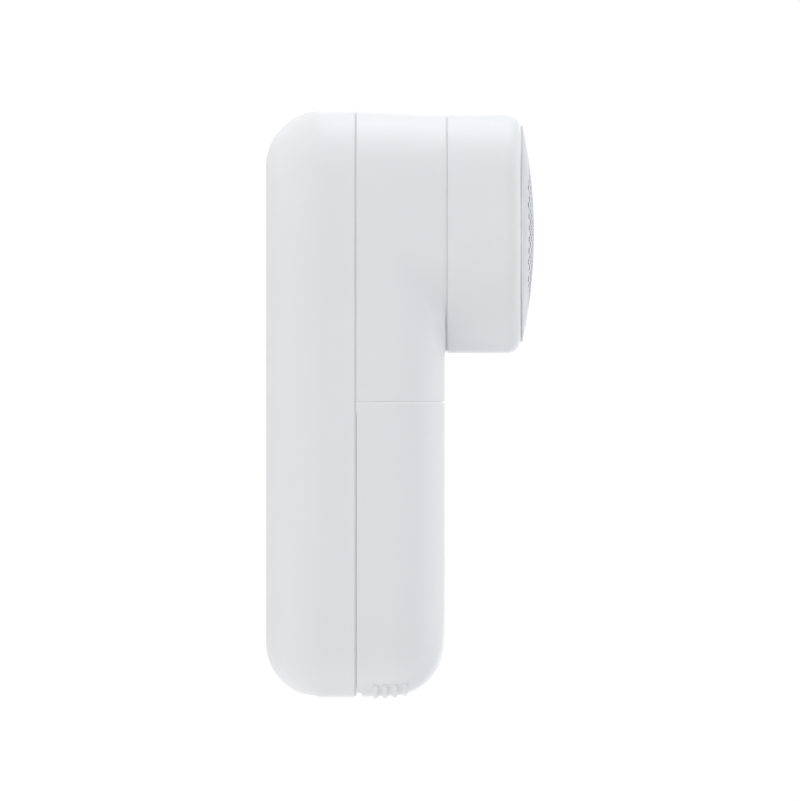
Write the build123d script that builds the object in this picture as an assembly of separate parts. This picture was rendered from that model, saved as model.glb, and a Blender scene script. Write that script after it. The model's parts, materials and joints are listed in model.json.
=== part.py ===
from build123d import *
import math
import os

# A cordless fabric shaver lying on its flat back. Millimetres.
# +Z points out of the cutting head, +X towards the head end of the handle, Y across it.

# ---- driving dimensions -------------------------------------------------------------------
SEAM_Z = 22.0           # parting plane of the two shells
SEAM_GAP = 0.5          # open groove at each seam
LOW = SEAM_Z - SEAM_GAP / 2
HIGH = SEAM_Z + SEAM_GAP / 2
END_X = 42.0            # centre of each round end of the handle
BODY_R = 30.0           # half width of the handle
EDGE_R = 13.5           # rounded rear and front edges of the handle
WALL = 2.0              # moulded wall
GROOVE = 0.35           # depth of the seam grooves
FRONT_Z = 44.0          # front face of the handle
DRAFT = 2.3             # draft of the front half, degrees
NECK_Z = 44.4           # top of the neck, where the collar starts
BIN_X = 0.5             # seam between the front shell and the lint bin
BIN_GAP = 0.4           # open groove at the bin's seam
BIN_END = BIN_X - BIN_GAP / 2
FRONT_START = BIN_X + BIN_GAP / 2
BIN_PLAY = 0.1          # clearance of the bin from what backs its seam
LAND_W = 1.2            # raised land on the front shell's end wall
HEAD_X = 41.9           # axis of the head, motor and cutter
COLLAR_R = 29.4         # outside of the twist collar
COLLAR_Z = (44.52, 62.7)
COLLAR_EDGE_R = 3.6
COLLAR_WALL = 1.3
FOIL_R = 26.8           # rim of the foil
FOIL_Z = (62.9, 65.8)   # rim and crown of the foil's dome
FOIL_T = 0.3
FOIL_EDGE_R = 0.8       # pressed edge between the dome and its skirt
SKIRT_Z = 59.4          # lower edge of the foil's skirt
HOLE_PITCH = 2.78       # spacing of the foil's holes
HOLE_R = 0.78
HOLE_FIELD_R = 18.6     # radius of the perforated field
BORE_R = 25.2           # inside of the neck ring
FLOOR_Z = (43.5, 45.5)  # floor of the head chamber
MOTOR_R = 12.2
MOTOR_Z = (14.4, 43.5)  # drawn can of the motor
SHAFT_R = 1.0
CELL_R = 9.2            # 18650 cell
CELL_X = (-56.0, 9.0)
CELL_Z = 11.4
BUTTON_X = 22.0
BUTTON_R = 7.0
BOARD_Z = (7.5, 9.1)
TAIL_X = -END_X - BODY_R
WIRE_R = 0.55
PORT_Z = 10.9           # centre of the charging socket
LIGHT_X = 36.0          # status light
BOARD_POSTS = [(14.5, 13.0), (14.5, -13.0), (55.0, 13.0), (55.0, -13.0)]
FRAME_SCREWS = [(-50.0, 19.0), (-50.0, -19.0), (-8.0, 22.0), (-8.0, -22.0)]
FRONT_SCREWS = [(24.0, 22.5), (24.0, -22.5), (66.5, 0.0)]
MOTOR_SCREWS = [(HEAD_X, 8.5), (HEAD_X, -8.5)]
CHUTE_SCREWS = [(61.5, 0.0), (48.0, 20.0), (48.0, -20.0)]
DUCT_Y = 10.5           # half width of the lint duct
DUCT_Z = (26.0, 39.0)
DUCT_X = (18.0, 27.5)   # opening of the duct in the chamber floor
DUCT_WALL = 1.2
CHAMBER_TOP = 49.2      # top of the neck ring
RING_WALL = 1.4         # neck ring around the head chamber
LIP_Z = (47.6, CHAMBER_TOP)  # three lips of the neck ring, over the collar's lugs
LUG_Z = (COLLAR_Z[0] + 0.6, 47.3)
BOSS_TOP = 33.0         # end of the front shell's screw bosses
SEAT_Z = (36.0, 43.45)  # seats that the lint chute is screwed down on
SPIGOT_R = 28.85        # low step on the neck that the collar's lower edge laps over
SPIGOT_TOP = NECK_Z + 0.5
LAP_PLAY = 0.15         # clearance between the step and the collar
PLATE_Z = (21.0, HIGH)  # mid frame
RIB_INSET = WALL + 0.25  # rib of the mid frame that the bin's walls drop around
RIB_W = 1.0
RIB_TOP = HIGH + 0.7
BIN_LIFT = 0.05         # the bin rests this far off the mid frame
SPRING_Z = (47.35, 51.9)
TAB_X = (-63.4, -61.8)  # tabs of the bin that plug into the mid frame
TAB_Y = (-13.0, 13.0)
TAB_HALF = 2.7
TAB_Z = (19.4, 23.2, 25.2)  # foot of the tab, and its arm to the bin's wall
RIB_HALF = 0.8          # half thickness of the moulded stiffening ribs
CRADLE_X = (-48.0, -23.0, 3.0)  # ribs that carry the cell
CRADLE_TOP = 8.0
FRAME_BOSS_R = 3.0
FRAME_PILOT_R = 1.3
BOARD_BOSS_R = 2.2
BOARD_PILOT_R = 1.0
FRONT_BOSS_R = 2.8
FRONT_PILOT_R = 1.2
SEAT_HALF = 2.6
LUG_GAP = 1.6           # clearance of the collar's lugs from the chamber's bore
LIP_OUT = 2.4           # how far the lips stand out from the bore
RIDGE_Z = [26.9 + 2.37 * i for i in range(4)]  # grip ridges of the bin
RIDGE_PROUD = 0.6
RIDGE_HALF = 0.55
RIDGE_SPAN = 50         # degrees around the bin's end
NOTCH_R = 1.5           # finger notch at the foot of the bin's end
SEAL_W = 1.5            # rubber around the mouth of the duct
CARRIER_R = 23.5
CARRIER_Z = (57.4, 60.4)
CARRIER_HUB = (6.4, 52.0)  # radius and lower end of its hub
VANE_FOOT = 51.4
BLADE_X = (4.7, 23.9)
BLADE_FOOT = 59.05
HEX_R = 3.95            # corner radius of the drive hub's hexagon
HEX_Z = (47.2, 56.5)
SPRING_R = 5.2
SPRING_WIRE = 0.35
CAN_WALL = 1.0
CAP_FOOT = 12.0
BUSH_R = 2.4
CORE_Z = (20.0, 37.0)   # rotor's stack of plates
MAGNET_Z = (18.0, 40.0)
DRUM_Z = (16.0, 19.0)   # commutator
CARD_Z = (PORT_Z - 2.85, PORT_Z - 1.65)  # charging board
SOCKET_X = (TAIL_X + 0.9, TAIL_X + 8.2)
SOCKET_HALF = (4.47, 1.63)
SOCKET_SKIN = 0.3
SWITCH_FOOT = 5.0

DOME_RISE = FOIL_Z[1] - FOIL_Z[0]
DOME_R = (FOIL_R**2 + DOME_RISE**2) / (2 * DOME_RISE)
DOME_C = FOIL_Z[1] - DOME_R
FAR = 200.0

os.makedirs("parts", exist_ok=True)


# ---- shape helpers ------------------------------------------------------------------------
def save(name, *solids):
    """Write one node, made of one or more separate solids."""
    body = solids[0] if len(solids) == 1 else Compound(children=list(solids))
    export_step(body, f"parts/{name}.step")


def block(x, y, z):
    """A box between the given limits."""
    size = [b - a for a, b in (x, y, z)]
    middle = [(a + b) / 2 for a, b in (x, y, z)]
    return Pos(*middle) * Box(*size)


def rod(r, z, x=HEAD_X, y=0.0):
    """An upright cylinder."""
    return Pos(x, y, (z[0] + z[1]) / 2) * Cylinder(r, z[1] - z[0])


def tube(r_out, r_in, z, x=HEAD_X, y=0.0):
    """An upright ring."""
    return rod(r_out, z, x, y) - rod(r_in, (z[0] - 1, z[1] + 1), x, y)


def around(count, shape, start=0.0, x=HEAD_X):
    """Copies of a shape, drawn about the origin, spread around an upright axis at x."""
    return [Pos(x, 0, 0) * Rot(0, 0, start + 360 * i / count) * shape for i in range(count)]


def sector(r_out, r_in, z, degrees):
    """A piece of a ring about the origin, centred on +X."""
    half = math.radians(degrees / 2)
    reach = 2 * r_out
    wedge = Polyline(
        (0, 0), (reach * math.cos(half), -reach * math.sin(half)), (reach, 0),
        (reach * math.cos(half), reach * math.sin(half)), (0, 0),
    )
    cutter = Pos(0, 0, z[0]) * extrude(make_face(wedge), amount=z[1] - z[0])
    return tube(r_out, r_in, z, 0) & cutter


def slot(inset, z, height, taper=0.0):
    """The handle's long round-ended outline, raised from z."""
    outline = SlotCenterToCenter(2 * END_X, 2 * (BODY_R - inset))
    return extrude(Pos(0, 0, z) * outline, amount=height, taper=taper)


def cable(points):
    """An insulated wire along straight runs joined by arcs."""
    path = FilletPolyline(*points, radius=1.5)
    return sweep(Plane(path @ 0, z_dir=path % 0) * Circle(WIRE_R), path=path)


def screw(x, y, head_z, tip_z, r=1.3, head_r=2.4):
    """A pan head screw. The head is on the side of head_z that is away from the tip."""
    up = 1 if head_z > tip_z else -1
    top = head_z + up * 1.3
    shank = rod(r, sorted((tip_z, head_z)), x, y)
    head = rod(head_r, sorted((head_z, top)), x, y)
    drive = rod(0.9, sorted((top - up * 0.7, top + up)), x, y)
    return shank + head - drive


# ---- handle -------------------------------------------------------------------------------
def rear_form(inset):
    """The rear half as a solid, its wall moved in by inset."""
    form = slot(inset, inset, LOW - inset)
    return fillet(form.faces().sort_by(Axis.Z)[0].edges(), EDGE_R - inset)


def front_form(inset):
    """The front half as a solid: the handle with its round edge, and the head's neck."""
    handle = slot(inset, HIGH, FRONT_Z - inset - HIGH, DRAFT)
    handle = fillet(handle.faces().sort_by(Axis.Z)[-1].edges(), EDGE_R - inset)
    height = NECK_Z - HIGH
    top_r = BODY_R - inset - height * math.tan(math.radians(DRAFT))
    neck = Pos(END_X, 0, HIGH + height / 2) * Cone(BODY_R - inset, top_r, height)
    return handle, neck


# ---- handle nodes -------------------------------------------------------------------------
def cradle(x):
    """A rib across the rear shell that carries the cell."""
    return block((x - RIB_HALF, x + RIB_HALF), TAB_Y, (WALL - 0.5, CRADLE_TOP))


def rear_shell():
    shell = rear_form(0) - rear_form(WALL)
    extras = [cradle(x) for x in CRADLE_X]
    extras += [rod(FRAME_BOSS_R, (WALL - 0.5, PLATE_Z[0]), x, y) for x, y in FRAME_SCREWS]
    extras += [rod(BOARD_BOSS_R, (WALL - 0.5, BOARD_Z[0]), x, y) for x, y in BOARD_POSTS]
    inside = rear_form(1.0)
    for extra in extras:
        shell += extra & inside
    cell_length = CELL_X[1] - CELL_X[0]
    shell -= Pos(sum(CELL_X) / 2, 0, CELL_Z) * Rot(0, 90, 0) * Cylinder(CELL_R + 0.15, cell_length + 4)
    for x, y in FRAME_SCREWS:
        shell -= rod(FRAME_PILOT_R, (CRADLE_TOP, PLATE_Z[0] + 1), x, y)
    for x, y in BOARD_POSTS:
        shell -= rod(BOARD_PILOT_R, (3.8, BOARD_Z[0] + 1), x, y)
    shell -= rod(BUTTON_R + 0.2, (-1, WALL + 1), BUTTON_X)
    shell -= rod(1.1, (-1, WALL + 1), LIGHT_X)
    shell -= Pos(TAIL_X - 2, 0, PORT_Z) * block((0, 5), (-4.75, 4.75), (-1.85, 1.85))
    return shell


def mid_frame():
    """The plate between the shells. Its rim shows in the seam groove and its rib locates the bin."""
    rim = slot(GROOVE, LOW, SEAM_GAP)
    plate = slot(WALL + 0.15, PLATE_Z[0], LOW - PLATE_Z[0])
    rib = slot(RIB_INSET, HIGH - 0.1, RIB_TOP - HIGH + 0.1) - slot(RIB_INSET + RIB_W, HIGH - 1, 3)
    rib &= block((-FAR, BIN_END - WALL - 0.3), (-FAR, FAR), (0, FAR))
    frame = rim + plate + rib
    frame -= rod(MOTOR_R + 1.0, (0, 40))
    for x, y in FRAME_SCREWS + FRONT_SCREWS:
        frame -= rod(1.5, (0, 40), x, y)
    for y in TAB_Y:
        frame -= block((TAB_X[0] - 0.3, TAB_X[1] + 0.3), (y - TAB_HALF - 0.3, y + TAB_HALF + 0.3), (0, 40))
    return frame


def head_form():
    """Outside of the front half, up to the top of the neck."""
    handle, neck = front_form(0)
    return handle + neck


def front_walls():
    """The front half's walls: open to the mid frame, at the head chamber and at the duct."""
    inner_handle, inner_neck = front_form(WALL)
    inner_neck = inner_neck & block((-FAR, FAR), (-FAR, FAR), (0, NECK_Z - WALL))
    shell = head_form() & block((FRONT_START, FAR), (-FAR, FAR), (0, FAR))
    shell -= (inner_handle + inner_neck) & block((FRONT_START + WALL, FAR), (-FAR, FAR), (0, FAR))
    shell -= rod(BORE_R, (NECK_Z - WALL - 1, CHAMBER_TOP))
    return shell - block((0, FRONT_START + WALL + 1), (-DUCT_Y, DUCT_Y), DUCT_Z)


def bin_land():
    """A raised rib along the front shell's end wall, which closes the bin's seam from inside."""
    outer, _ = front_form(GROOVE)
    inner, _ = front_form(GROOVE + LAND_W)
    return (outer - inner) & block((BIN_END + BIN_PLAY, FRONT_START), (-FAR, FAR), (0, FAR))


def neck_ring():
    """Ring around the head chamber, with three lips for the collar's lugs and a step at its foot."""
    ring = tube(BORE_R + RING_WALL, BORE_R, (NECK_Z - WALL, CHAMBER_TOP))
    ring += tube(SPIGOT_R, BORE_R, (NECK_Z - WALL, SPIGOT_TOP))
    for lip in around(3, sector(BORE_R + LIP_OUT, BORE_R + RING_WALL / 2, LIP_Z, 52), 60):
        ring += lip
    return ring


def front_bosses():
    """Screw bosses that the mid frame is fixed to, each tied to the wall by a rib."""
    rib_z = (HIGH, BOSS_TOP)
    side_x = (FRONT_SCREWS[0][0] - RIB_HALF, FRONT_SCREWS[0][0] + RIB_HALF)
    side_y = FRONT_SCREWS[0][1]
    ribs = [block(side_x, (side_y, BODY_R), rib_z), block(side_x, (-BODY_R, -side_y), rib_z)]
    ribs.append(block((FRONT_SCREWS[2][0], END_X + BODY_R), (-RIB_HALF, RIB_HALF), rib_z))
    core = slot(WALL / 2, HIGH, BOSS_TOP - HIGH, DRAFT)
    return [(rod(FRONT_BOSS_R, rib_z, x, y) + rib) & core for (x, y), rib in zip(FRONT_SCREWS, ribs)]


def chute_seats():
    """Blocks inside the neck that the lint chute is screwed down on."""
    seat_x = (CHUTE_SCREWS[1][0] - SEAT_HALF, CHUTE_SCREWS[1][0] + SEAT_HALF)
    side_y = CHUTE_SCREWS[1][1] - SEAT_HALF + 0.1
    seats = [block((CHUTE_SCREWS[0][0] - SEAT_HALF + 0.1, END_X + BODY_R), (-SEAT_HALF, SEAT_HALF), SEAT_Z)]
    seats += [block(seat_x, side, SEAT_Z) for side in ((side_y, BODY_R), (-BODY_R, -side_y))]
    return [seat & rod(27.8, SEAT_Z, END_X) for seat in seats]


def front_shell():
    shell = front_walls() + bin_land() + neck_ring()
    for feature in front_bosses() + chute_seats():
        shell += feature
    for x, y in FRONT_SCREWS:
        shell -= rod(FRONT_PILOT_R, (HIGH - 1, BOSS_TOP - 0.5), x, y)
    for x, y in CHUTE_SCREWS:
        shell -= rod(1.3, (SEAT_Z[0] + 1, 50), x, y)
    return shell


def lint_chute():
    """Floor of the head chamber and the duct below it, in one moulding."""
    start = FRONT_START + WALL
    sides = (-DUCT_Y - DUCT_WALL, DUCT_Y + DUCT_WALL)
    low = block((start + 0.05, DUCT_X[1] + DUCT_WALL), sides,
                (DUCT_Z[0] - DUCT_WALL, DUCT_Z[1] + DUCT_WALL))
    rise = block((DUCT_X[0] - DUCT_WALL, DUCT_X[1] + DUCT_WALL), sides, (DUCT_Z[1], FLOOR_Z[0] + 0.5))
    chute = rod(BORE_R - 0.1, FLOOR_Z) + low + (rise & rod(BORE_R - 0.1, (30, 50)))
    chute -= block((start - 1, DUCT_X[1]), (-DUCT_Y, DUCT_Y), DUCT_Z)
    way = block((DUCT_X[0] + 1.5, DUCT_X[1]), (-DUCT_Y + 1, DUCT_Y - 1), (DUCT_Z[1] - 1, FLOOR_Z[1] + 1))
    chute -= way & rod(BORE_R - 1.3, (30, 50))
    chute -= rod(3.1, (40, 50))
    for x, y in CHUTE_SCREWS + MOTOR_SCREWS:
        chute -= rod(1.4, (40, 50), x, y)
    return chute


def bin_shell():
    """The lint bin: the lower front of the handle, open behind and at its upper end."""
    outer, _ = front_form(0)
    inner, _ = front_form(WALL)
    room = block((-FAR, BIN_END), (-FAR, FAR), (HIGH + BIN_LIFT, FAR))
    shell = outer & room
    for z in RIDGE_Z:
        shell += bin_ridge(z)
    shell -= inner & block((-FAR, BIN_END - WALL), (-FAR, FAR), (0, FAR))
    shell -= block((BIN_END - WALL - 1, 5), (-DUCT_Y, DUCT_Y), DUCT_Z)
    shell -= Pos(TAIL_X, 0, HIGH) * Rot(90, 0, 0) * Cylinder(NOTCH_R, 16)
    for y in TAB_Y:
        side = (y - TAB_HALF, y + TAB_HALF)
        shell += block(TAB_X, side, (TAB_Z[0], TAB_Z[2]))
        shell += block((TAIL_X, TAB_X[1]), side, TAB_Z[1:]) & slot(WALL / 2, HIGH, 9, DRAFT)
    return shell


def bin_ridge(z):
    """A grip ridge that follows the bin's round end, standing a little proud of it."""
    radius = BODY_R - (z - HIGH) * math.tan(math.radians(DRAFT))
    drop = z - (FRONT_Z - EDGE_R)
    if drop > 0:
        radius -= EDGE_R - math.sqrt(EDGE_R**2 - drop**2)
    ridge = sector(radius + RIDGE_PROUD, radius - WALL / 2, (z - RIDGE_HALF, z + RIDGE_HALF), RIDGE_SPAN)
    return Pos(-END_X, 0, 0) * Rot(0, 0, 180) * ridge


def bin_seal():
    """Rubber frame in the gap around the mouth of the duct."""
    x = (BIN_END + BIN_PLAY, FRONT_START)
    side = DUCT_Y + SEAL_W
    frame = block(x, (-side, side), (DUCT_Z[0] - SEAL_W, DUCT_Z[1] + SEAL_W))
    return frame - block((-9, 9), (-DUCT_Y, DUCT_Y), DUCT_Z)


# ---- head ---------------------------------------------------------------------------------
def head_collar():
    low, high = COLLAR_Z
    collar = fillet(rod(COLLAR_R, COLLAR_Z).edges().sort_by(Axis.Z)[-1], COLLAR_EDGE_R)
    collar -= rod(COLLAR_R - COLLAR_WALL, (low - 1, SKIRT_Z - 0.3))
    collar -= rod(SPIGOT_R + LAP_PLAY, (low - 1, SPIGOT_TOP + LAP_PLAY))
    collar -= rod(FOIL_R + 0.15, (50, high + 1))
    for lug in around(3, sector(COLLAR_R - 1.0, BORE_R + LUG_GAP, LUG_Z, 40)):
        collar += lug
    return collar


def dome(offset, low):
    """Space under the foil's dome, down to the height low."""
    ball = Pos(HEAD_X, 0, DOME_C) * Sphere(DOME_R + offset)
    return ball & rod(FOIL_R, (low, FOIL_Z[1] + 5))


def cup(r, offset, low):
    """The foil's dome and skirt as a solid, with the pressed edge between them."""
    form = dome(offset, low) & rod(r, (low, FOIL_Z[1]))
    rims = [edge for edge in form.edges().filter_by(GeomType.CIRCLE) if abs(edge.radius - r) < 0.01]
    return fillet(ShapeList(rims).sort_by(Axis.Z)[-1], FOIL_EDGE_R + offset)


def foil():
    shell = cup(FOIL_R, 0, SKIRT_Z) - cup(FOIL_R - FOIL_T, -FOIL_T, SKIRT_Z - 1)
    spots = []
    rows = int(HOLE_FIELD_R / HOLE_PITCH) + 2
    for row in range(-rows, rows + 1):
        for column in range(-rows, rows + 1):
            x = (column + 0.5 * (row % 2)) * HOLE_PITCH
            y = row * HOLE_PITCH * math.sqrt(3) / 2
            if math.hypot(x, y) <= HOLE_FIELD_R:
                spots.append((x, y))
    pins = Pos(HEAD_X, 0, 63) * extrude(
        Sketch() + [Pos(x, y) * Circle(HOLE_R) for x, y in spots], amount=8)
    return shell - pins


def foil_frame():
    ring = tube(FOIL_R - FOIL_T - 0.05, BORE_R, (CHAMBER_TOP + 0.1, 61.6))
    return ring + tube(FOIL_R + 0.6, BORE_R + 0.2, (57.6, 58.9))


def cutter_carrier():
    low, high = CARRIER_Z
    disc = rod(CARRIER_R, CARRIER_Z) + rod(CARRIER_HUB[0], (CARRIER_HUB[1], low + 0.1))
    for vane in around(6, block((CARRIER_HUB[0] - 0.9, 21.0), (-0.6, 0.6), (VANE_FOOT, low + 0.1)), 30):
        disc += vane
    disc = fillet(disc.edges().filter_by(GeomType.CIRCLE).sort_by(Axis.Z)[-1], 0.8)
    disc -= Pos(HEAD_X, 0, 50) * extrude(RegularPolygon(HEX_R + 0.1, 6), amount=8.6)
    slit = block((BLADE_X[0] - 0.1, BLADE_X[1] + 0.1), (-0.45, 0.45), (BLADE_FOOT - 0.05, high + 1))
    for gap in around(6, slit):
        disc -= gap
    return disc


def cutter_blades():
    """Six steel blades whose tops follow the underside of the foil."""
    under = dome(-FOIL_T - 0.25, 50) & rod(24.3, (50, 70))
    strips = around(6, block(BLADE_X, (-0.4, 0.4), (BLADE_FOOT, 70)))
    return [strip & under for strip in strips]


def coil(r, wire, z, turns, x=HEAD_X):
    """A compression spring between two heights."""
    path = Pos(x, 0, z[0] + wire) * Helix((z[1] - z[0] - 2 * wire) / turns, z[1] - z[0] - 2 * wire, r)
    return sweep(Plane(path @ 0, z_dir=path % 0) * Circle(wire), path=path)


def drive_hub():
    post = Pos(HEAD_X, 0, HEX_Z[0]) * extrude(RegularPolygon(HEX_R, 6), amount=HEX_Z[1] - HEX_Z[0])
    hub = rod(5.8, (46.5, SPRING_Z[0] - 0.05)) + post
    return hub - rod(SHAFT_R, (40, 60))


def shaft_seal():
    return tube(5.0, SHAFT_R + 0.05, (FLOOR_Z[1], FLOOR_Z[1] + 0.9))


# ---- motor --------------------------------------------------------------------------------
def motor_can():
    low, high = MOTOR_Z
    can = fillet(rod(MOTOR_R, MOTOR_Z).edges().sort_by(Axis.Z)[-1], 1.0) + rod(3.0, (high - 1, high + 1.3))
    can -= rod(MOTOR_R - CAN_WALL, (low - 1, high - CAN_WALL))
    can -= rod(BUSH_R, (30, 50))
    for x, y in MOTOR_SCREWS:
        can -= rod(1.25, (40, 50), x, y)
    return can


def motor_end_cap():
    cap = rod(MOTOR_R - 0.1, (CAP_FOOT, MOTOR_Z[0]))
    cap += tube(MOTOR_R - CAN_WALL, 9.6, (MOTOR_Z[0] - 0.5, MOTOR_Z[0] + 2))
    return cap - rod(BUSH_R, (10, 20))


def magnets():
    return around(2, sector(MOTOR_R - CAN_WALL, 9.3, MAGNET_Z, 120))


def rotor_core():
    """Three-pole stack of steel plates."""
    core = rod(4.0, CORE_Z) - rod(SHAFT_R, (10, 50))
    for pole in around(3, sector(8.8, 7.0, CORE_Z, 96)):
        core += pole
    for arm in around(3, block((3.0, 7.5), (-1.4, 1.4), CORE_Z)):
        core += arm
    return core


def windings():
    """A copper coil around each pole's arm."""
    low, high = CORE_Z
    arm = block((4.2, 6.2), (-3.2, 3.2), (low - 1.2, high + 1.2))
    return around(3, arm - block((0, 9), (-1.45, 1.45), (low - 0.1, high + 0.1)))


def commutator():
    drum = tube(BUSH_R, SHAFT_R, DRUM_Z)
    for cut in around(3, block((1.8, 5.0), (-0.15, 0.15), (15, 20))):
        drum -= cut
    return drum


def brushes():
    x, z = (HEAD_X - 0.7, HEAD_X + 0.7), (DRUM_Z[0] + 0.6, DRUM_Z[1] - 0.6)
    return [block(x, y, z) for y in ((BUSH_R + 0.05, 6.0), (-6.0, -BUSH_R - 0.05))]


def terminals():
    x, z = (HEAD_X - 1.2, HEAD_X + 1.2), (BOARD_Z[1], CAP_FOOT)
    return [block(x, (y - 0.25, y + 0.25), z) for y in (-6.5, 6.5)]


def bushes(z):
    return tube(BUSH_R, SHAFT_R + 0.04, z)


# ---- battery and electronics --------------------------------------------------------------
def battery_cell():
    cell = Pos(sum(CELL_X) / 2, 0, CELL_Z) * Rot(0, 90, 0) * Cylinder(CELL_R, CELL_X[1] - CELL_X[0])
    return fillet(cell.edges().filter_by(GeomType.CIRCLE), 0.8)


def battery_tabs():
    tabs = [block((CELL_X[1], CELL_X[1] + 0.3), (-3, 3), (CELL_Z - 3, CELL_Z + 4))]
    tabs.append(block((CELL_X[0] - 0.3, CELL_X[0]), (-3, 3), (CELL_Z - 3, CELL_Z + 4)))
    return tabs


def battery_pad():
    pad = block((-45, -5), (-4.0, 4.0), (CELL_Z + 8.5, PLATE_Z[0]))
    return pad - Pos(0, 0, CELL_Z) * Rot(0, 90, 0) * Cylinder(CELL_R, FAR)


def main_board():
    board = block((12.0, 58.0), (-16.0, 16.0), BOARD_Z)
    board = chamfer(board.edges().filter_by(Axis.Z), 2.0)
    for x, y in BOARD_POSTS:
        board -= rod(1.1, (0, 20), x, y)
    return board


def board_parts():
    """Controller, coil and capacitors on the front of the board."""
    top = BOARD_Z[1]
    chips = [block((14, 18), (-8, -2), (top, top + 1.4)), block((18.5, 24.5), (3, 9), (top, top + 3.0))]
    chips += [block((20, 23), (y - 1, y + 1), (top, top + 1.0)) for y in (-7.5, -3.5)]
    chips.append(rod(2.0, (top, top + 5.0), 15.5, 6.0))
    return chips


def board_screws():
    return [screw(x, y, BOARD_Z[1], 4.0, 0.95, 1.9) for x, y in BOARD_POSTS]


def tact_switch():
    case = block((BUTTON_X - 3, BUTTON_X + 3), (-3, 3), (SWITCH_FOOT, BOARD_Z[0]))
    return case - rod(1.8, (4, 6.8), BUTTON_X)


def switch_plunger():
    return rod(1.7, (SWITCH_FOOT - 0.9, SWITCH_FOOT + 0.8), BUTTON_X)


def power_button():
    face = rod(BUTTON_R, (0.5, 2.2), BUTTON_X)
    face = fillet(face.edges().sort_by(Axis.Z)[0], 0.4)
    stem = rod(1.7, (WALL + 0.5, SWITCH_FOOT - 0.9), BUTTON_X)
    return face + rod(BUTTON_R + 1.0, (WALL + 0.1, WALL + 0.9), BUTTON_X) + stem


def status_light():
    return block((LIGHT_X - 1.0, LIGHT_X + 1.0), (-0.8, 0.8), (6.7, BOARD_Z[0]))


def light_pipe():
    return rod(1.05, (0.2, 6.6), LIGHT_X) + rod(1.8, (WALL, WALL + 0.8), LIGHT_X)


def charge_board():
    return block((-66.0, -57.5), (-8.0, 8.0), CARD_Z)


def charge_socket():
    """A USB-C socket with its tongue."""
    mouth, end = SOCKET_X
    wide, high = SOCKET_HALF
    case = block(SOCKET_X, (-wide, wide), (PORT_Z - high, PORT_Z + high))
    case = fillet(case.edges().filter_by(Axis.X), 1.5)
    wide, high = wide - SOCKET_SKIN, high - SOCKET_SKIN
    well = block((mouth - 1, end - 1.1), (-wide, wide), (PORT_Z - high, PORT_Z + high))
    well = fillet(well.edges().filter_by(Axis.X), 1.25)
    return case - well + block((mouth + 0.8, end - 0.3), (-3.35, 3.35), (PORT_Z - 0.35, PORT_Z + 0.35))


def battery_leads():
    """One lead from each end of the cell to the board."""
    near = [(CELL_X[1] + 0.31, 0, 14.0), (13.2, 0, 14.0), (13.2, 0, BOARD_Z[1])]
    tail = CELL_X[0] - 0.31 - WIRE_R
    far = [(tail, 0, 14.5), (tail, 9.9, 14.5), (13.2, 9.9, 14.5), (13.2, 9.9, BOARD_Z[1])]
    return [cable(near), cable(far)]


def charge_leads():
    """Two leads from the charging board, along the cell, to the main board."""
    leads = []
    for start, height, end in ((-60.0, 15.5, 13.2), (-61.3, 16.8, 14.5)):
        leads.append(cable([(start, -7, CARD_Z[1]), (start, -7, height), (start, -10.2, height),
                            (end, -10.2, height), (end, -10.2, BOARD_Z[1])]))
    return leads


def build():
    save("rear_shell", rear_shell())
    save("mid_frame", mid_frame())
    save("front_shell", front_shell())
    save("lint_chute", lint_chute())
    save("bin_shell", bin_shell())
    save("bin_seal", bin_seal())
    save("head_collar", head_collar())
    save("foil", foil())
    save("foil_frame", foil_frame())
    save("cutter_carrier", cutter_carrier())
    save("cutter_blades", *cutter_blades())
    save("cutter_spring", coil(SPRING_R, SPRING_WIRE, SPRING_Z, 4))
    save("drive_hub", drive_hub())
    save("shaft_seal", shaft_seal())
    save("motor_shaft", rod(SHAFT_R, (12.1, 56.0)))
    save("motor_can", motor_can())
    save("motor_end_cap", motor_end_cap())
    save("motor_magnets", *magnets())
    save("rotor_core", rotor_core())
    save("rotor_windings", *windings())
    save("commutator", commutator())
    save("motor_brushes", *brushes())
    save("motor_terminals", *terminals())
    save("front_bush", bushes((42.6, 44.7)))
    save("rear_bush", bushes((12.1, 14.3)))
    save("motor_screws", *[screw(x, y, FLOOR_Z[1], 40.5, 1.2, 2.2) for x, y in MOTOR_SCREWS])
    save("chute_screws", *[screw(x, y, FLOOR_Z[1], 40.5, 1.3, 2.2) for x, y in CHUTE_SCREWS])
    save("frame_screws", *[screw(x, y, HIGH, 10.0, 1.25) for x, y in FRAME_SCREWS])
    save("front_screws", *[screw(x, y, PLATE_Z[0], 32.0, 1.15) for x, y in FRONT_SCREWS])
    save("battery_cell", battery_cell())
    save("battery_tabs", *battery_tabs())
    save("battery_pad", battery_pad())
    save("main_board", main_board())
    save("board_parts", *board_parts())
    save("board_screws", *board_screws())
    save("tact_switch", tact_switch())
    save("switch_plunger", switch_plunger())
    save("power_button", power_button())
    save("status_light", status_light())
    save("light_pipe", light_pipe())
    save("charge_board", charge_board())
    save("charge_socket", charge_socket())
    save("battery_leads", *battery_leads())
    save("charge_leads", *charge_leads())


build()
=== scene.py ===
"""Fabric shaver, lying on its flat back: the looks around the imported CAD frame. Metres, Blender 4.5."""
import json
import math

import bpy
import numpy as np
from mathutils import Matrix, Vector


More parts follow.
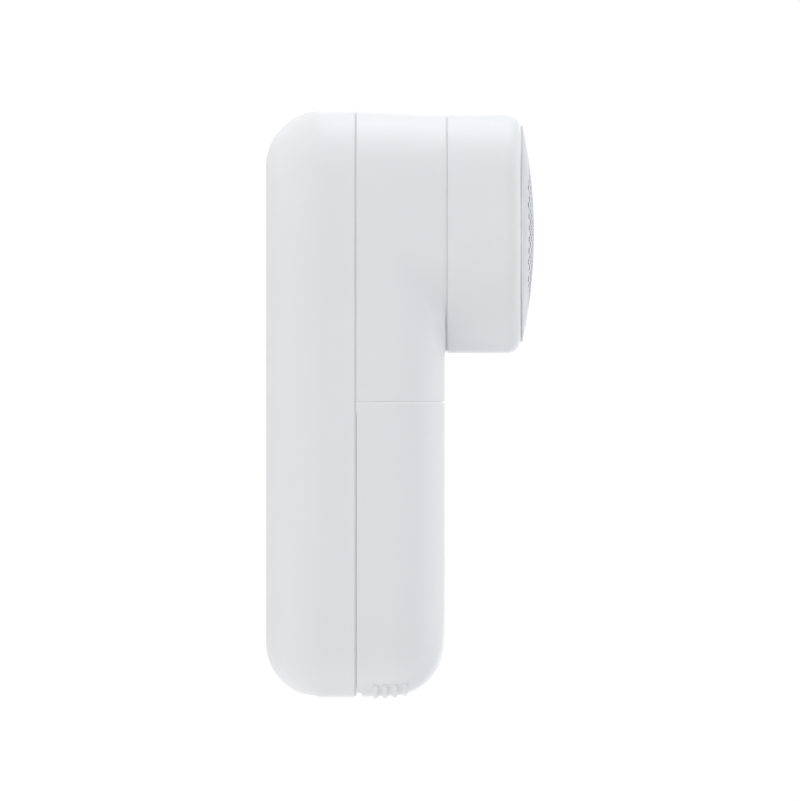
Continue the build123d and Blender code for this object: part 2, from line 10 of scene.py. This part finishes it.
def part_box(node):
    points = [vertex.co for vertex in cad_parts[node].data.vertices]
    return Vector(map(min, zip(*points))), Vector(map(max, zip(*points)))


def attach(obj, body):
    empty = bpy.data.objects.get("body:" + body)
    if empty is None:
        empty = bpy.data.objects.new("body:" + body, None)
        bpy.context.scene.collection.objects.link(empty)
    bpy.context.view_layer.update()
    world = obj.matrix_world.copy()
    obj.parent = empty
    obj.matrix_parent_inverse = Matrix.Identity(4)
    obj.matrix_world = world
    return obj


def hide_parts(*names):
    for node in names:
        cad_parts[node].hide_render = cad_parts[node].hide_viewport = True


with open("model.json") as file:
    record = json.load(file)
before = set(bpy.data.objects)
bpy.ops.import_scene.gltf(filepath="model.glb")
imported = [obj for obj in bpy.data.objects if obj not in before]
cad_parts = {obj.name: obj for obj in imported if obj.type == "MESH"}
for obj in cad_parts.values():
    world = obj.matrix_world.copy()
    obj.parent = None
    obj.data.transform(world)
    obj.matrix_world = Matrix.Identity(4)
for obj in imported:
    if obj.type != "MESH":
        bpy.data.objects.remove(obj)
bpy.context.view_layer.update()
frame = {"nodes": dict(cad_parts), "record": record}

MM = 0.001
NODES = frame["nodes"]
SLOTS = {part["node"]: part["material_slot"] for part in frame["record"]["subparts"]}

# ---- places, read from the frame ----------------------------------------------------------
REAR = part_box("rear_shell")
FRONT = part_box("front_shell")
HEAD_X = sum(corner.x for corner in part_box("head_collar")) / 2
FRONT_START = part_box("bin_seal")[1].x    # the front shell's end wall, which the bin's seal lies on

# ---- the front half's outer form ----------------------------------------------------------
HALF_WIDTH = REAR[1].y
END_X = REAR[1].x - HALF_WIDTH
LOW_Z = FRONT[0].z
FACE_Z = 44 * MM
EDGE_R = 13.5 * MM
DRAFT = math.radians(2.3)
SLOPE = math.tan(DRAFT)
ARC_Z = FACE_Z - EDGE_R
ARC_Y = HALF_WIDTH - (ARC_Z - LOW_Z) * SLOPE - EDGE_R / math.cos(DRAFT)
TANGENT_Z = ARC_Z + EDGE_R * math.sin(DRAFT)
BLEND = 11.0 * MM       # softness of the inside corner beside the head
SKIN = 1.0 * MM
HAIR = 0.01 * MM        # overlap that keeps the skin's open edges out of sight
SKIN_SHARP = 35         # degrees
SIDE_STEPS = 84
END_STEPS = 96
WALL_STEPS = 12
EDGE_STEPS = 30

# ---- view, room and floor -----------------------------------------------------------------
VIEW_WIDTH = 196.66 * MM
VIEW_CENTRE = (0.92 * MM, 32.9 * MM)     # along the shaver, and away from the floor
VIEW_DISTANCE = 600 * MM
ROOM_TINT = (0.97, 0.98, 1.0, 1.0)
ROOM_BASE = 0.05
ROOM_GLOW = {            # direction of each soft light: how tightly it gathers, strength
    "behind": ((0, -1, 0), 10, 1.5),
    "head_end": ((1, -0.5, 0), 6, 2.2),
    "tail_end": ((-1, -0.4, 0), 6, 1.0),
    "above": ((0, -0.3, 1), 3, 1.4),
    "camera_side": ((0, 1, 0.3), 2, 0.8),
}
BACKDROP = 1.05         # brightness of the plain white that the camera sees
FLOOR_GLOW = 0.45
FLOOR_COLOUR = (0.58, 0.58, 0.585)
FLOOR_HALF = 1500 * MM
FLOOR_STEPS = 8


# ---- node helpers ---------------------------------------------------------------------------
class Shader:
    """A material's node tree with one Principled surface."""

    def __init__(self, name):
        self.material = bpy.data.materials.new(name)
        self.material.use_nodes = True
        self.nodes = self.material.node_tree.nodes
        self.links = self.material.node_tree.links
        self.surface = self.nodes["Principled BSDF"]
        self.place = self.add("ShaderNodeTexCoord").outputs["Object"]

    def add(self, kind, **settings):
        node = self.nodes.new(kind)
        for key, value in settings.items():
            setattr(node, key, value)
        return node

    def set(self, **values):
        for key, value in values.items():
            self.surface.inputs[key.replace("_", " ")].default_value = value

    def stretched(self, scale):
        """The object's own coordinates, scaled differently along each axis."""
        node = self.add("ShaderNodeMapping")
        node.inputs["Scale"].default_value = scale
        self.links.new(self.place, node.inputs["Vector"])
        return node.outputs["Vector"]

    def noise(self, scale, detail=3.0, place=None, roughness=0.5):
        node = self.add("ShaderNodeTexNoise")
        node.inputs["Scale"].default_value = scale
        node.inputs["Detail"].default_value = detail
        node.inputs["Roughness"].default_value = roughness
        self.links.new(place or self.place, node.inputs["Vector"])
        return node.outputs["Fac"]

    def ramp(self, value, stops):
        node = self.add("ShaderNodeValToRGB")
        elements = node.color_ramp.elements
        for element, (position, colour) in zip(elements, stops[:2]):
            element.position = position
            element.color = (*colour, 1.0)
        for position, colour in stops[2:]:
            elements.new(position).color = (*colour, 1.0)
        self.links.new(value, node.inputs["Fac"])
        return node.outputs["Color"]

    def range(self, value, low, high, start=0.3, end=0.7):
        node = self.add("ShaderNodeMapRange")
        for key, number in (("From Min", start), ("From Max", end), ("To Min", low), ("To Max", high)):
            node.inputs[key].default_value = number
        self.links.new(value, node.inputs["Value"])
        return node.outputs["Result"]

    def bands(self, scale, distortion=0.0):
        """Parallel waves along Z."""
        node = self.add("ShaderNodeTexWave", wave_type="BANDS", bands_direction="Z", wave_profile="SIN")
        node.inputs["Scale"].default_value = scale
        node.inputs["Distortion"].default_value = distortion
        self.links.new(self.place, node.inputs["Vector"])
        return node.outputs["Fac"]

    def bump(self, height, distance, strength=0.5, under=None):
        node = self.add("ShaderNodeBump")
        node.inputs["Distance"].default_value = distance
        node.inputs["Strength"].default_value = strength
        self.links.new(height, node.inputs["Height"])
        if under:
            self.links.new(under, node.inputs["Normal"])
        return node.outputs["Normal"]

    def connect(self, socket, name):
        self.links.new(socket, self.surface.inputs[name])


def shade(colour, factor):
    return tuple(min(1.0, c * factor) for c in colour)


# ---- materials --------------------------------------------------------------------------------
COARSE = 0.1 / 3 * MM   # depth of a rough grain, against 0.01 mm on smooth plastic


def moulded(name, colour, rough, spread=0.04, grain=0.01 * MM, sheen=0.5):
    """Injection moulded plastic: a faint cloudiness, flow-marked gloss and a very fine spark texture."""
    s = Shader(name)
    darker, lighter = shade(colour, 1 - spread / 2), shade(colour, 1 + spread / 2)
    s.connect(s.ramp(s.noise(45.0, 4.0), [(0.25, darker), (0.75, lighter)]), "Base Color")
    s.connect(s.range(s.noise(160.0, 5.0), rough - 0.04, rough + 0.05), "Roughness")
    flow = s.bump(s.noise(70.0, 2.0), 0.12 * MM, 0.25)
    s.connect(s.bump(s.noise(5200.0, 2.0), grain, 0.35, flow), "Normal")
    s.set(Specular_IOR_Level=sheen)
    return s


def white_shell(name, colour):
    s = moulded(name, colour, 0.34, spread=0.015)
    s.set(Coat_Weight=0.3, Coat_Roughness=0.18)
    return s.material


def metal(name, colour, rough, stretch=(1, 1, 1), scale=900.0):
    """Metal with fine drawn or ground lines along one direction."""
    s = Shader(name)
    lines = s.noise(scale, 6.0, s.stretched(stretch), 0.7)
    tint = s.ramp(s.noise(60.0, 4.0), [(0.3, shade(colour, 0.9)), (0.7, shade(colour, 1.06))])
    s.connect(tint, "Base Color")
    s.connect(s.range(lines, rough - 0.08, rough + 0.12), "Roughness")
    s.connect(s.bump(lines, 0.004 * MM, 0.5), "Normal")
    s.set(Metallic=1.0)
    return s.material


def foil_steel(name, colour):
    """Etched and pressed steel: satin, with rings from forming the dome."""
    s = Shader(name)
    centred = s.add("ShaderNodeVectorMath", operation="SUBTRACT")
    centred.inputs[1].default_value = (HEAD_X, 0.0, 0.0)
    s.links.new(s.place, centred.inputs[0])
    rings = s.add("ShaderNodeTexWave", wave_type="RINGS", rings_direction="Z", wave_profile="SIN")
    for key, number in (("Scale", 700.0), ("Distortion", 1.5), ("Detail", 3.0)):
        rings.inputs[key].default_value = number
    s.links.new(centred.outputs["Vector"], rings.inputs["Vector"])
    mottle = s.ramp(s.noise(120.0, 5.0), [(0.3, shade(colour, 0.78)), (0.7, shade(colour, 0.90))])
    s.connect(mottle, "Base Color")
    s.connect(s.range(s.noise(2600.0, 4.0), 0.30, 0.46), "Roughness")
    fine = s.bump(s.noise(6000.0, 3.0), 0.006 * MM, 0.4)
    s.connect(s.bump(rings.outputs["Fac"], 0.003 * MM, 0.35, fine), "Normal")
    s.set(Metallic=1.0)
    return s.material


def rubber(name, colour):
    return moulded(name, colour, 0.72, spread=0.15, grain=COARSE, sheen=0.3).material


def laminate(name, colour):
    """Stacked steel plates: thin dark lines across the stack."""
    s = Shader(name)
    plates = s.bands(600.0)
    s.connect(s.ramp(plates, [(0.2, shade(colour, 0.5)), (0.45, colour)]), "Base Color")
    s.connect(s.range(s.noise(800.0), 0.35, 0.5), "Roughness")
    s.connect(s.bump(plates, 0.02 * MM, 0.5), "Normal")
    s.set(Metallic=1.0)
    return s.material


def wound_copper(name, colour):
    """Enamelled copper wire, turn beside turn."""
    s = Shader(name)
    turns = s.bands(900.0, 0.4)
    s.connect(s.ramp(turns, [(0.1, shade(colour, 0.45)), (0.6, colour)]), "Base Color")
    s.connect(s.range(s.noise(500.0), 0.22, 0.36), "Roughness")
    s.connect(s.bump(turns, 0.06 * MM, 0.8), "Normal")
    s.set(Metallic=1.0)
    return s.material


def circuit_board(name, colour):
    """Green solder mask over faint copper tracks."""
    s = Shader(name)
    brick = s.add("ShaderNodeTexBrick")
    tracks = {"Scale": 260.0, "Mortar Size": 0.05, "Brick Width": 1.7, "Row Height": 0.35}
    for key, number in tracks.items():
        brick.inputs[key].default_value = number
    brick.inputs["Color1"].default_value = (*colour, 1.0)
    brick.inputs["Color2"].default_value = (*shade(colour, 0.85), 1.0)
    brick.inputs["Mortar"].default_value = (*shade(colour, 1.8), 1.0)
    s.links.new(s.place, brick.inputs["Vector"])
    s.connect(brick.outputs["Color"], "Base Color")
    s.connect(s.range(s.noise(300.0), 0.22, 0.38), "Roughness")
    s.connect(s.bump(brick.outputs["Fac"], 0.03 * MM, 0.4), "Normal")
    return s.material


def clear_pipe(name, colour):
    s = Shader(name)
    s.connect(s.ramp(s.noise(200.0), [(0.3, colour), (0.7, shade(colour, 0.95))]), "Base Color")
    s.connect(s.range(s.noise(900.0), 0.06, 0.16), "Roughness")
    s.set(Transmission_Weight=0.75, IOR=1.49)
    return s.material


def glowing(name, colour):
    s = moulded(name, colour, 0.3)
    s.set(Subsurface_Weight=0.2)
    return s.material


BUILDERS = {
    "white_shell": white_shell,
    "white_insert": lambda n, c: moulded(n, c, 0.5).material,
    "button_white": lambda n, c: moulded(n, c, 0.38, spread=0.02).material,
    "grey_frame": lambda n, c: moulded(n, c, 0.55).material,
    "dark_rubber": rubber,
    "steel_foil": foil_steel,
    "blade_steel": lambda n, c: metal(n, c, 0.26, (1, 1, 12)),
    "spring_steel": lambda n, c: metal(n, c, 0.3),
    "shaft_steel": lambda n, c: metal(n, c, 0.2, (1, 1, 14)),
    "motor_steel": lambda n, c: metal(n, c, 0.34, (1, 1, 0.1)),
    "core_steel": laminate,
    "magnet": lambda n, c: moulded(n, c, 0.6, spread=0.3, grain=COARSE).material,
    "copper": wound_copper,
    "brass_metal": lambda n, c: metal(n, c, 0.3),
    "bronze": lambda n, c: metal(n, c, 0.42, scale=2500.0),
    "screw_steel": lambda n, c: metal(n, c, 0.32, (1, 1, 0.2)),
    "nickel": lambda n, c: metal(n, c, 0.22, (0.15, 1, 1)),
    "cell_wrap": lambda n, c: moulded(n, c, 0.36, spread=0.1).material,
    "foam": rubber,
    "board_green": circuit_board,
    "chip_black": lambda n, c: moulded(n, c, 0.5, spread=0.2).material,
    "black_plastic": lambda n, c: moulded(n, c, 0.48, spread=0.2).material,
    "led_white": glowing,
    "clear_plastic": clear_pipe,
    "wire_red": rubber,
    "wire_black": rubber,
}


def build_materials():
    return {
        entry["slot"]: BUILDERS[entry["slot"]](entry["slot"], tuple(entry["base_color"][:3]))
        for entry in frame["record"]["materials"]
    }


def paint(thing, material):
    thing.data.materials.clear()
    thing.data.materials.append(material)
    return thing


# ---- mesh helpers -------------------------------------------------------------------------------
def piece(name, points, faces, body, material):
    """A named mesh that rides on a CAD body. Edges that turn more than SKIN_SHARP stay crisp."""
    mesh = bpy.data.meshes.new(name)
    mesh.from_pydata([tuple(p) for p in points], [], faces)
    mesh.update()
    thing = bpy.data.objects.new(name, mesh)
    bpy.context.scene.collection.objects.link(thing)
    mesh.polygons.foreach_set("use_smooth", [True] * len(mesh.polygons))
    mesh.set_sharp_from_angle(angle=math.radians(SKIN_SHARP))
    paint(thing, material)
    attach(thing, body)
    return thing


# ---- front shell: the soft inside corner beside the head --------------------------------------------
def handle_y(z):
    """Half width of the handle's front half at a height, with its rounded edge."""
    if z <= TANGENT_Z:
        return HALF_WIDTH - (z - LOW_Z) * SLOPE
    return ARC_Y + math.sqrt(max(EDGE_R**2 - (z - ARC_Z) ** 2, 0.0))


def neck_r(z):
    return HALF_WIDTH - (z - LOW_Z) * SLOPE


def side_y(x, z, blended=True):
    """Half width of the front shell at x, between the bin's seam and the head's axis."""
    wide = handle_y(z)
    neck = math.sqrt(max(neck_r(z) ** 2 - (END_X - x) ** 2, 0.0))
    soft = BLEND * (1 - math.exp((wide - neck_r(z)) / BLEND)) * blended
    if soft < HAIR / 10:
        return max(wide, neck)
    overlap = max(soft - abs(wide - neck), 0.0) / soft
    return max(wide, neck) + overlap**2 * soft / 4


def shell_ring(z, start_x, inset=0.0):
    """The front shell's outline at a height, from the seam on one side round the end to the other."""
    side = []
    for i in range(SIDE_STEPS):
        x = start_x + (END_X - start_x) * i / SIDE_STEPS
        side.append((x, -(side_y(x, z) - inset), z))
    radius = neck_r(z) - inset
    turns = [math.radians(-90 + 180 * i / END_STEPS) for i in range(END_STEPS + 1)]
    end = [(END_X + radius * math.cos(a), radius * math.sin(a), z) for a in turns]
    return side + end + [(x, -y, z) for x, y, z in reversed(side)]


def face_row(ring, z):
    """The row inside the top edge, tucked under the front face or into the neck."""
    tucked = []
    for x, y, _ in ring:
        middle_x = min(x, END_X)
        out = Vector((x - middle_x, y))
        reach = neck_r(FACE_Z) ** 2 - (END_X - middle_x) ** 2
        inner = max(math.sqrt(max(reach, 0.0)), ARC_Y)
        out = out.normalized() * (inner - 0.3 * MM)
        tucked.append((middle_x + out.x, out.y, z))
    return tucked


def front_skin(material):
    """The front shell's outside, one closed skin from the long seam up to the front face."""
    start = FRONT_START - HAIR
    heights = list(np.linspace(LOW_Z + 0.15 * MM, TANGENT_Z, WALL_STEPS))
    turns = np.linspace(DRAFT, math.pi / 2, EDGE_STEPS)[1:]
    heights += [ARC_Z + EDGE_R * math.sin(a) for a in turns]
    rings = [shell_ring(LOW_Z - HAIR, start, 0.12 * MM)]
    rings += [shell_ring(min(z, FACE_Z), start) for z in heights]
    rings.append(face_row(rings[-1], FACE_Z - 0.03 * MM))
    rings += [shell_ring(z, start, SKIN) for z in (FACE_Z - 2 * MM, TANGENT_Z, LOW_Z + 0.3 * MM)]
    count = len(rings[0])
    points = [p for ring in rings for p in ring]
    faces = []
    for j in range(len(rings)):
        a, b = j * count, (j + 1) % len(rings) * count
        faces += [(a + i, a + i + 1, b + i + 1, b + i) for i in range(count - 1)]
    faces.append(tuple(j * count for j in range(len(rings))))
    faces.append(tuple(j * count + count - 1 for j in reversed(range(len(rings)))))
    return piece("front_shell_skin", points, faces, "housing", material)


def front_core(material):
    """The front shell's inside features, its outer surface drawn in under the skin."""
    core = bpy.data.objects.new("front_shell_core", NODES["front_shell"].data.copy())
    bpy.context.scene.collection.objects.link(core)
    for vertex in core.data.vertices:
        x, y, z = vertex.co
        if z > FACE_Z - 0.1 * MM:
            continue
        middle_x = max(0.0, x - END_X)
        out = Vector((middle_x, y))
        surface = neck_r(z) if x >= END_X else side_y(x, z, blended=False)
        if abs(out.length - surface) < 0.06 * MM:
            out = out.normalized() * (out.length - SKIN / 2)
            vertex.co = (min(x, END_X) + out.x, out.y, z - (0.15 * MM if z > TANGENT_Z else 0.0))
    paint(core, material)
    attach(core, "housing")
    return core


# ---- surroundings -------------------------------------------------------------------------------------
def camera():
    """Looks square at the shaver's side, turned so that the head end is up and the foil faces right."""
    data = bpy.data.cameras.new("camera")
    data.type = "ORTHO"
    data.ortho_scale = VIEW_WIDTH
    thing = bpy.data.objects.new("camera", data)
    bpy.context.scene.collection.objects.link(thing)
    right, up, back = Vector((0, 0, 1)), Vector((1, 0, 0)), Vector((0, 1, 0))
    turn = Matrix((right, up, back)).transposed().to_4x4()
    thing.matrix_world = Matrix.Translation((VIEW_CENTRE[0], VIEW_DISTANCE, VIEW_CENTRE[1])) @ turn
    bpy.context.scene.camera = thing


class Room:
    """The world's node tree: a white room whose walls glow softly in a few directions."""

    def __init__(self):
        self.world = bpy.data.worlds.new("studio")
        bpy.context.scene.world = self.world
        self.world.use_nodes = True
        self.nodes = self.world.node_tree.nodes
        self.links = self.world.node_tree.links
        self.toward = self.nodes.new("ShaderNodeTexCoord").outputs["Generated"]

    def math(self, operation, *values):
        node = self.nodes.new("ShaderNodeMath")
        node.operation = operation
        for socket, value in zip(node.inputs, values):
            if isinstance(value, bpy.types.NodeSocket):
                self.links.new(value, socket)
            else:
                socket.default_value = value
        return node.outputs["Value"]

    def lobe(self, axis, power):
        """1 looking along axis, falling softly to 0 at right angles to it."""
        dot = self.nodes.new("ShaderNodeVectorMath")
        dot.operation = "DOT_PRODUCT"
        dot.inputs[1].default_value = Vector(axis).normalized()
        self.links.new(self.toward, dot.inputs[0])
        return self.math("POWER", self.math("MAXIMUM", dot.outputs["Value"], 0.0), power)


def studio():
    """Soft light from the room's walls. The camera itself sees plain white behind the shaver."""
    room = Room()
    total = ROOM_BASE
    for axis, power, strength in ROOM_GLOW.values():
        total = room.math("MULTIPLY_ADD", room.lobe(axis, power), strength, total)
    light = room.nodes["Background"]
    light.inputs["Color"].default_value = ROOM_TINT
    room.links.new(total, light.inputs["Strength"])
    seen = room.nodes.new("ShaderNodeBackground")
    seen.inputs["Color"].default_value = (1.0, 1.0, 1.0, 1.0)
    seen.inputs["Strength"].default_value = BACKDROP
    mix = room.nodes.new("ShaderNodeMixShader")
    room.links.new(room.nodes.new("ShaderNodeLightPath").outputs["Is Camera Ray"], mix.inputs["Fac"])
    room.links.new(light.outputs["Background"], mix.inputs[1])
    room.links.new(seen.outputs["Background"], mix.inputs[2])
    room.links.new(mix.outputs["Shader"], room.nodes["World Output"].inputs["Surface"])


def floor():
    """A large pale floor that the shaver lies on."""
    row = FLOOR_STEPS + 1
    values = np.linspace(-FLOOR_HALF, FLOOR_HALF, row)
    points = [(x, y, 0.0) for x in values for y in values]
    faces = [
        (i * row + j, (i + 1) * row + j, (i + 1) * row + j + 1, i * row + j + 1)
        for i in range(FLOOR_STEPS) for j in range(FLOOR_STEPS)
    ]
    mesh = bpy.data.meshes.new("floor")
    mesh.from_pydata(points, [], faces)
    thing = bpy.data.objects.new("floor", mesh)
    bpy.context.scene.collection.objects.link(thing)
    s = moulded("floor_paint", FLOOR_COLOUR, 0.6, spread=0.01)
    s.set(Emission_Color=(1.0, 1.0, 1.0, 1.0), Emission_Strength=FLOOR_GLOW)
    paint(thing, s.material)


def main():
    bpy.context.scene.view_settings.view_transform = "Standard"
    camera()
    studio()
    floor()
    materials = build_materials()
    for name, node in NODES.items():
        paint(node, materials[SLOTS[name]])
    skin = front_skin(materials["white_shell"])
    core = front_core(materials["white_shell"])
    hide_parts("front_shell")
    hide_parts("front_shell")


main()
